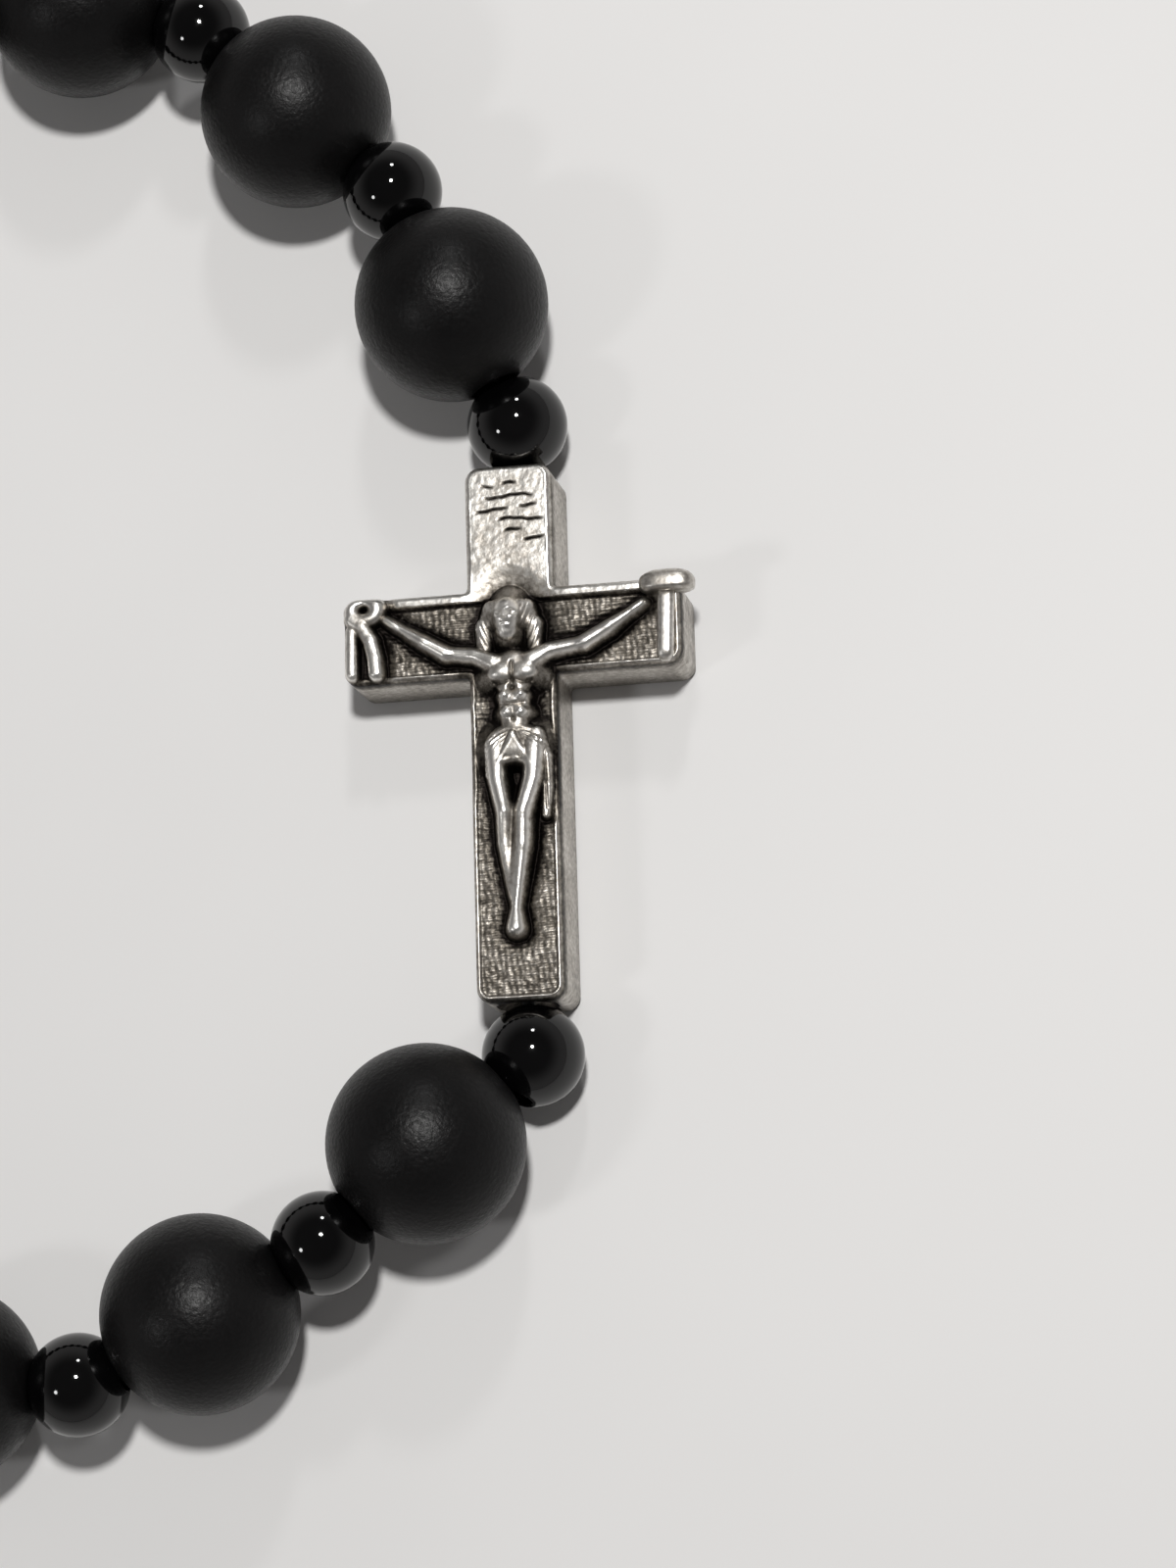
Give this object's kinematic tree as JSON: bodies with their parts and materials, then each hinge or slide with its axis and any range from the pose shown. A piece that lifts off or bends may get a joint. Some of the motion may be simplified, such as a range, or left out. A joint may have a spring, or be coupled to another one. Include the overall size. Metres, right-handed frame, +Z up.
{
  "type": "rosary bracelet",
  "caption": "Closed loop of round beads with small spacer beads and an in-line crucifix bead, strung on an elastic cord.",
  "frame": {"origin": "on the crucifix's flat back, under the crossing of stem and bar", "axes": "+Z up, out of the crucifix's front; +Y along its stem towards the head end; +X along its bar, away from the bead loop"},
  "size_m": [0.0742, 0.0831, 0.01],
  "materials": {
    "matt_black_stone": "matt, frosted",
    "polished_black_stone": "high gloss",
    "antique_silver_casting": "darkened in the recesses, rubbed bright on the relief",
    "elastic": "satin"
  },
  "bodies": {
    "crucifix": {"crucifix_bead": "antique_silver_casting", "elastic_cord": "elastic"},
    "link_01": {"large_bead_01": "matt_black_stone"},
    "link_02": {"large_bead_02": "matt_black_stone"},
    "link_03": {"large_bead_03": "matt_black_stone"},
    "link_04": {"large_bead_04": "matt_black_stone"},
    "link_05": {"large_bead_05": "matt_black_stone"},
    "link_06": {"large_bead_06": "matt_black_stone"},
    "link_07": {"large_bead_07": "matt_black_stone"},
    "link_08": {"large_bead_08": "matt_black_stone", "cord_knot": "elastic"},
    "link_09": {"large_bead_09": "matt_black_stone"},
    "link_10": {"large_bead_10": "matt_black_stone"},
    "link_11": {"large_bead_11": "matt_black_stone"},
    "link_12": {"large_bead_12": "matt_black_stone"},
    "link_13": {"large_bead_13": "matt_black_stone"},
    "spacer_01": {"small_bead_01": "polished_black_stone"},
    "spacer_02": {"small_bead_02": "polished_black_stone"},
    "spacer_03": {"small_bead_03": "polished_black_stone"},
    "spacer_04": {"small_bead_04": "polished_black_stone"},
    "spacer_05": {"small_bead_05": "polished_black_stone"},
    "spacer_06": {"small_bead_06": "polished_black_stone"},
    "spacer_07": {"small_bead_07": "polished_black_stone"},
    "spacer_08": {"small_bead_08": "polished_black_stone"},
    "spacer_09": {"small_bead_09": "polished_black_stone"},
    "spacer_10": {"small_bead_10": "polished_black_stone"},
    "spacer_11": {"small_bead_11": "polished_black_stone"},
    "spacer_12": {"small_bead_12": "polished_black_stone"},
    "spacer_13": {"small_bead_13": "polished_black_stone"},
    "spacer_14": {"small_bead_14": "polished_black_stone"}
  },
  "joints": [
    {"name": "bend_01", "type": "hinge", "parent": "crucifix", "child": "link_01", "pos_m": [0.0003, 0.0113, 0.0029], "axis": [0, 0, -1], "range_deg": [0, 35], "deforming": ["elastic_cord"]},
    {"name": "bend_02", "type": "hinge", "parent": "link_01", "child": "link_02", "pos_m": [-0.00557, 0.02388, 0.005], "axis": [0, 0, -1], "range_deg": [0, 35], "deforming": ["elastic_cord"]},
    {"name": "bend_03", "type": "hinge", "parent": "link_02", "child": "link_03", "pos_m": [-0.01578, 0.03375, 0.005], "axis": [0, 0, -1], "range_deg": [0, 35], "deforming": ["elastic_cord"]},
    {"name": "bend_04", "type": "hinge", "parent": "link_03", "child": "link_04", "pos_m": [-0.02913, 0.0386, 0.005], "axis": [0, 0, -1], "range_deg": [0, 35], "deforming": ["elastic_cord"]},
    {"name": "bend_05", "type": "hinge", "parent": "link_04", "child": "link_05", "pos_m": [-0.04278, 0.03469, 0.005], "axis": [0, 0, -1], "range_deg": [0, 35], "deforming": ["elastic_cord"]},
    {"name": "bend_06", "type": "hinge", "parent": "link_05", "child": "link_06", "pos_m": [-0.05299, 0.02482, 0.005], "axis": [0, 0, -1], "range_deg": [0, 35], "deforming": ["elastic_cord"]},
    {"name": "bend_07", "type": "hinge", "parent": "link_06", "child": "link_07", "pos_m": [-0.05921, 0.01206, 0.005], "axis": [0, 0, -1], "range_deg": [0, 35], "deforming": ["elastic_cord"]},
    {"name": "bend_13", "type": "hinge", "parent": "crucifix", "child": "link_13", "pos_m": [0.00025, -0.0215, 0.0028], "axis": [0, 0, 1], "range_deg": [0, 35], "deforming": ["elastic_cord"]},
    {"name": "bend_12", "type": "hinge", "parent": "link_13", "child": "link_12", "pos_m": [-0.0102, -0.03059, 0.005], "axis": [0, 0, 1], "range_deg": [0, 35], "deforming": ["elastic_cord"]},
    {"name": "bend_11", "type": "hinge", "parent": "link_12", "child": "link_11", "pos_m": [-0.02286, -0.03703, 0.005], "axis": [0, 0, 1], "range_deg": [0, 35], "deforming": ["elastic_cord"]},
    {"name": "bend_10", "type": "hinge", "parent": "link_11", "child": "link_10", "pos_m": [-0.03704, -0.03629, 0.005], "axis": [0, 0, 1], "range_deg": [0, 35], "deforming": ["elastic_cord"]},
    {"name": "bend_09", "type": "hinge", "parent": "link_10", "child": "link_09", "pos_m": [-0.04881, -0.02835, 0.005], "axis": [0, 0, 1], "range_deg": [0, 35], "deforming": ["elastic_cord"]},
    {"name": "bend_08", "type": "hinge", "parent": "link_09", "child": "link_08", "pos_m": [-0.05654, -0.01644, 0.005], "axis": [0, 0, 1], "range_deg": [0, 35], "deforming": ["elastic_cord"]},
    {"name": "spin_01", "type": "hinge", "parent": "crucifix", "child": "spacer_01", "pos_m": [0.0003, 0.0113, 0.0029], "axis": [-0.1488, 0.9604, 0.2355], "continuous": true, "deforming": ["elastic_cord"]},
    {"name": "spin_02", "type": "hinge", "parent": "link_01", "child": "spacer_02", "pos_m": [-0.00557, 0.02388, 0.005], "axis": [-0.5807, 0.8141, 0], "continuous": true, "deforming": ["elastic_cord"]},
    {"name": "spin_03", "type": "hinge", "parent": "link_02", "child": "spacer_03", "pos_m": [-0.01578, 0.03375, 0.005], "axis": [-0.848, 0.5299, 0], "continuous": true, "deforming": ["elastic_cord"]},
    {"name": "spin_04", "type": "hinge", "parent": "link_03", "child": "spacer_04", "pos_m": [-0.02913, 0.0386, 0.005], "axis": [-0.9994, 0.0349, 0], "continuous": true, "deforming": ["elastic_cord"]},
    {"name": "spin_05", "type": "hinge", "parent": "link_04", "child": "spacer_05", "pos_m": [-0.04278, 0.03469, 0.005], "axis": [-0.866, -0.5, 0], "continuous": true, "deforming": ["elastic_cord"]},
    {"name": "spin_06", "type": "hinge", "parent": "link_05", "child": "spacer_06", "pos_m": [-0.05299, 0.02482, 0.005], "axis": [-0.5878, -0.809, 0], "continuous": true, "deforming": ["elastic_cord"]},
    {"name": "spin_07", "type": "hinge", "parent": "link_06", "child": "spacer_07", "pos_m": [-0.05921, 0.01206, 0.005], "axis": [-0.2643, -0.9644, 0], "continuous": true, "deforming": ["elastic_cord"]},
    {"name": "spin_08", "type": "hinge", "parent": "link_07", "child": "spacer_08", "pos_m": [-0.06037, -0.00209, 0.005], "axis": [0.0895, -0.996, 0], "continuous": true, "deforming": ["elastic_cord"]},
    {"name": "spin_09", "type": "hinge", "parent": "link_09", "child": "spacer_09", "pos_m": [-0.05654, -0.01644, 0.005], "axis": [0.4062, -0.9138, 0], "continuous": true, "deforming": ["elastic_cord"]},
    {"name": "spin_10", "type": "hinge", "parent": "link_10", "child": "spacer_10", "pos_m": [-0.04881, -0.02835, 0.005], "axis": [0.7009, -0.7133, 0], "continuous": true, "deforming": ["elastic_cord"]},
    {"name": "spin_11", "type": "hinge", "parent": "link_11", "child": "spacer_11", "pos_m": [-0.03704, -0.03629, 0.005], "axis": [0.9483, -0.3173, 0], "continuous": true, "deforming": ["elastic_cord"]},
    {"name": "spin_12", "type": "hinge", "parent": "link_12", "child": "spacer_12", "pos_m": [-0.02286, -0.03703, 0.005], "axis": [0.9781, 0.2079, 0], "continuous": true, "deforming": ["elastic_cord"]},
    {"name": "spin_13", "type": "hinge", "parent": "link_13", "child": "spacer_13", "pos_m": [-0.0102, -0.03059, 0.005], "axis": [0.829, 0.5592, 0], "continuous": true, "deforming": ["elastic_cord"]},
    {"name": "spin_14", "type": "hinge", "parent": "crucifix", "child": "spacer_14", "pos_m": [0.00025, -0.0215, 0.0028], "axis": [0.3488, 0.9061, -0.2395], "continuous": true, "deforming": ["elastic_cord"]}
  ]
}
